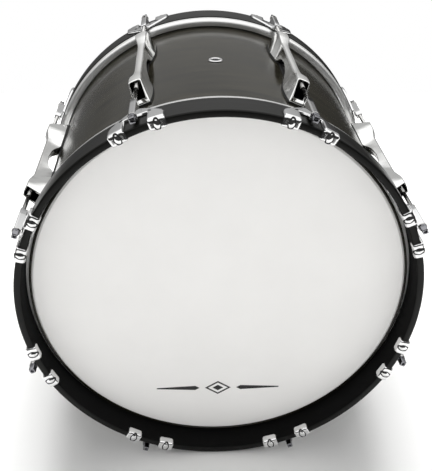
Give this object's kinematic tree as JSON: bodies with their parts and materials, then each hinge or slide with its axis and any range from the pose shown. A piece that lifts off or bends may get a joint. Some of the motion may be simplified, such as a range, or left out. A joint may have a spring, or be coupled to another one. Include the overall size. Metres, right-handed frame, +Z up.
{
  "type": "marching bass drum",
  "caption": "Double-headed bass drum on wooden counterhoops, with one-piece bridge lugs, double claw yokes, sleeved tension rods and a vent.",
  "frame": {"origin": "on the floor under the middle of the drum, between the two hoops that it stands on", "axes": "+Z up; +Y along the drum's axis from the front head to the rear head; +X to the right as seen from the front"},
  "size_m": [0.4826, 0.4228, 0.4826],
  "materials": {
    "shell_lacquer": "charcoal stain under gloss lacquer",
    "hoop_lacquer": "black stain under satin lacquer",
    "film": "smooth white drum film",
    "chrome_plate": "bright plate",
    "cast_metal": "satin die casting",
    "rolled_aluminium": "rolled and polished",
    "plated_steel": "nickel plated",
    "rubber": "matt moulded"
  },
  "bodies": {
    "root": {"shell": "shell_lacquer", "lug_1": "cast_metal", "lug_gasket_1": "rubber", "lug_2": "cast_metal", "lug_gasket_2": "rubber", "lug_3": "cast_metal", "lug_gasket_3": "rubber", "lug_4": "cast_metal", "lug_gasket_4": "rubber", "lug_5": "cast_metal", "lug_gasket_5": "rubber", "lug_6": "cast_metal", "lug_gasket_6": "rubber", "lug_7": "cast_metal", "lug_gasket_7": "rubber", "lug_8": "cast_metal", "lug_gasket_8": "rubber", "vent_grommet": "chrome_plate", "vent_lock_ring": "chrome_plate"},
    "front_hoop_group": {"front_head": "film", "front_flesh_hoop": "rolled_aluminium", "front_hoop": "hoop_lacquer", "front_claw_1": "chrome_plate", "front_claw_2": "chrome_plate", "front_claw_3": "chrome_plate", "front_claw_4": "chrome_plate", "front_claw_5": "chrome_plate", "front_claw_6": "chrome_plate", "front_claw_7": "chrome_plate", "front_claw_8": "chrome_plate"},
    "front_tension_rod_1": {"front_rod_1": "plated_steel"},
    "front_tension_rod_2": {"front_rod_2": "plated_steel"},
    "front_tension_rod_3": {"front_rod_3": "plated_steel"},
    "front_tension_rod_4": {"front_rod_4": "plated_steel"},
    "front_tension_rod_5": {"front_rod_5": "plated_steel"},
    "front_tension_rod_6": {"front_rod_6": "plated_steel"},
    "front_tension_rod_7": {"front_rod_7": "plated_steel"},
    "front_tension_rod_8": {"front_rod_8": "plated_steel"},
    "rear_hoop_group": {"rear_head": "film", "rear_flesh_hoop": "rolled_aluminium", "rear_hoop": "hoop_lacquer", "rear_claw_1": "chrome_plate", "rear_claw_2": "chrome_plate", "rear_claw_3": "chrome_plate", "rear_claw_4": "chrome_plate", "rear_claw_5": "chrome_plate", "rear_claw_6": "chrome_plate", "rear_claw_7": "chrome_plate", "rear_claw_8": "chrome_plate"},
    "rear_tension_rod_1": {"rear_rod_1": "plated_steel"},
    "rear_tension_rod_2": {"rear_rod_2": "plated_steel"},
    "rear_tension_rod_3": {"rear_rod_3": "plated_steel"},
    "rear_tension_rod_4": {"rear_rod_4": "plated_steel"},
    "rear_tension_rod_5": {"rear_rod_5": "plated_steel"},
    "rear_tension_rod_6": {"rear_rod_6": "plated_steel"},
    "rear_tension_rod_7": {"rear_rod_7": "plated_steel"},
    "rear_tension_rod_8": {"rear_rod_8": "plated_steel"}
  },
  "joints": [
    {"name": "front_hoop_slide", "type": "slide", "parent": "root", "child": "front_hoop_group", "axis": [0, -1, 0], "range_m": [0, 0.0127]},
    {"name": "front_rod_1_turn", "type": "hinge", "parent": "front_hoop_group", "child": "front_tension_rod_1", "pos_m": [0.09537, -0.1643, 0.47153], "axis": [0, -1, 0], "range_deg": [0, 4321]},
    {"name": "front_rod_2_turn", "type": "hinge", "parent": "front_hoop_group", "child": "front_tension_rod_2", "pos_m": [0.23023, -0.1643, 0.33666], "axis": [0, -1, 0], "range_deg": [0, 4321]},
    {"name": "front_rod_3_turn", "type": "hinge", "parent": "front_hoop_group", "child": "front_tension_rod_3", "pos_m": [0.23023, -0.1643, 0.14594], "axis": [0, -1, 0], "range_deg": [0, 4321]},
    {"name": "front_rod_4_turn", "type": "hinge", "parent": "front_hoop_group", "child": "front_tension_rod_4", "pos_m": [0.09537, -0.1643, 0.01107], "axis": [0, -1, 0], "range_deg": [0, 4321]},
    {"name": "front_rod_5_turn", "type": "hinge", "parent": "front_hoop_group", "child": "front_tension_rod_5", "pos_m": [-0.09537, -0.1643, 0.01107], "axis": [0, -1, 0], "range_deg": [0, 4321]},
    {"name": "front_rod_6_turn", "type": "hinge", "parent": "front_hoop_group", "child": "front_tension_rod_6", "pos_m": [-0.23023, -0.1643, 0.14594], "axis": [0, -1, 0], "range_deg": [0, 4321]},
    {"name": "front_rod_7_turn", "type": "hinge", "parent": "front_hoop_group", "child": "front_tension_rod_7", "pos_m": [-0.23023, -0.1643, 0.33666], "axis": [0, -1, 0], "range_deg": [0, 4321]},
    {"name": "front_rod_8_turn", "type": "hinge", "parent": "front_hoop_group", "child": "front_tension_rod_8", "pos_m": [-0.09537, -0.1643, 0.47153], "axis": [0, -1, 0], "range_deg": [0, 4321]},
    {"name": "rear_hoop_slide", "type": "slide", "parent": "root", "child": "rear_hoop_group", "axis": [0, 1, 0], "range_m": [0, 0.0127]},
    {"name": "rear_rod_1_turn", "type": "hinge", "parent": "rear_hoop_group", "child": "rear_tension_rod_1", "pos_m": [0.09537, 0.1643, 0.47153], "axis": [0, 1, 0], "range_deg": [0, 4321]},
    {"name": "rear_rod_2_turn", "type": "hinge", "parent": "rear_hoop_group", "child": "rear_tension_rod_2", "pos_m": [0.23023, 0.1643, 0.33666], "axis": [0, 1, 0], "range_deg": [0, 4321]},
    {"name": "rear_rod_3_turn", "type": "hinge", "parent": "rear_hoop_group", "child": "rear_tension_rod_3", "pos_m": [0.23023, 0.1643, 0.14594], "axis": [0, 1, 0], "range_deg": [0, 4321]},
    {"name": "rear_rod_4_turn", "type": "hinge", "parent": "rear_hoop_group", "child": "rear_tension_rod_4", "pos_m": [0.09537, 0.1643, 0.01107], "axis": [0, 1, 0], "range_deg": [0, 4321]},
    {"name": "rear_rod_5_turn", "type": "hinge", "parent": "rear_hoop_group", "child": "rear_tension_rod_5", "pos_m": [-0.09537, 0.1643, 0.01107], "axis": [0, 1, 0], "range_deg": [0, 4321]},
    {"name": "rear_rod_6_turn", "type": "hinge", "parent": "rear_hoop_group", "child": "rear_tension_rod_6", "pos_m": [-0.23023, 0.1643, 0.14594], "axis": [0, 1, 0], "range_deg": [0, 4321]},
    {"name": "rear_rod_7_turn", "type": "hinge", "parent": "rear_hoop_group", "child": "rear_tension_rod_7", "pos_m": [-0.23023, 0.1643, 0.33666], "axis": [0, 1, 0], "range_deg": [0, 4321]},
    {"name": "rear_rod_8_turn", "type": "hinge", "parent": "rear_hoop_group", "child": "rear_tension_rod_8", "pos_m": [-0.09537, 0.1643, 0.47153], "axis": [0, 1, 0], "range_deg": [0, 4321]}
  ],
  "couplings": [
    {"joint": "front_rod_1_turn", "follows": "front_hoop_slide", "rad_per_m": 5936.9},
    {"joint": "front_rod_2_turn", "follows": "front_hoop_slide", "rad_per_m": 5936.9},
    {"joint": "front_rod_3_turn", "follows": "front_hoop_slide", "rad_per_m": 5936.9},
    {"joint": "front_rod_4_turn", "follows": "front_hoop_slide", "rad_per_m": 5936.9},
    {"joint": "front_rod_5_turn", "follows": "front_hoop_slide", "rad_per_m": 5936.9},
    {"joint": "front_rod_6_turn", "follows": "front_hoop_slide", "rad_per_m": 5936.9},
    {"joint": "front_rod_7_turn", "follows": "front_hoop_slide", "rad_per_m": 5936.9},
    {"joint": "front_rod_8_turn", "follows": "front_hoop_slide", "rad_per_m": 5936.9},
    {"joint": "rear_rod_1_turn", "follows": "rear_hoop_slide", "rad_per_m": 5936.9},
    {"joint": "rear_rod_2_turn", "follows": "rear_hoop_slide", "rad_per_m": 5936.9},
    {"joint": "rear_rod_3_turn", "follows": "rear_hoop_slide", "rad_per_m": 5936.9},
    {"joint": "rear_rod_4_turn", "follows": "rear_hoop_slide", "rad_per_m": 5936.9},
    {"joint": "rear_rod_5_turn", "follows": "rear_hoop_slide", "rad_per_m": 5936.9},
    {"joint": "rear_rod_6_turn", "follows": "rear_hoop_slide", "rad_per_m": 5936.9},
    {"joint": "rear_rod_7_turn", "follows": "rear_hoop_slide", "rad_per_m": 5936.9},
    {"joint": "rear_rod_8_turn", "follows": "rear_hoop_slide", "rad_per_m": 5936.9}
  ]
}
